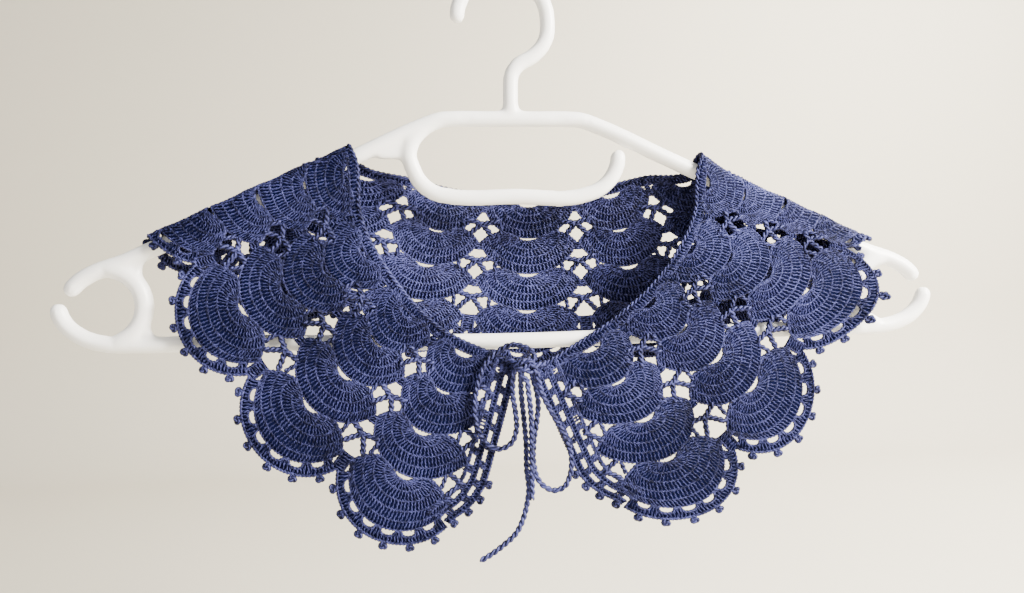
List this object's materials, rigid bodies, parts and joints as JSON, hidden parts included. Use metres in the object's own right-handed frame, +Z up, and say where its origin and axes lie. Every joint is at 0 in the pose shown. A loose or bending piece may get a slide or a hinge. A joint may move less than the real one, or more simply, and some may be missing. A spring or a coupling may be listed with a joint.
{
  "type": "lace collar on a clothes hanger",
  "caption": "Crocheted lace collar of fan motifs with a picot hem and a tied cord, folded over a moulded clothes hanger that hangs by its hook.",
  "frame": {"origin": "inner top of the hanger's hook, where the rail or peg touches it", "axes": "+Z up, -Y the front of the collar, +X to the viewer's right when facing the front"},
  "size_m": [0.424, 0.0466, 0.2827],
  "materials": {
    "navy_cotton": "matte crocheted cotton",
    "hanger_plastic": "semi gloss moulded plastic"
  },
  "bodies": {
    "root": {"hook": "hanger_plastic", "shoulder_bar": "hanger_plastic", "lower_bar": "hanger_plastic", "scarf_loop": "hanger_plastic", "end_ring_left": "hanger_plastic", "end_ring_right": "hanger_plastic", "lace_column_01": "navy_cotton", "lace_column_02": "navy_cotton", "lace_column_03": "navy_cotton", "lace_column_04": "navy_cotton", "lace_column_05": "navy_cotton", "lace_column_06": "navy_cotton", "lace_column_07": "navy_cotton", "lace_column_08": "navy_cotton", "lace_column_09": "navy_cotton", "lace_column_10": "navy_cotton", "lace_column_11": "navy_cotton", "lace_column_12": "navy_cotton", "lace_column_13": "navy_cotton", "neck_band": "navy_cotton", "tie_knot": "navy_cotton", "tie_loop_left": "navy_cotton", "tie_loop_right": "navy_cotton", "tie_end_long": "navy_cotton", "tie_end_short": "navy_cotton"}
  },
  "joints": []
}
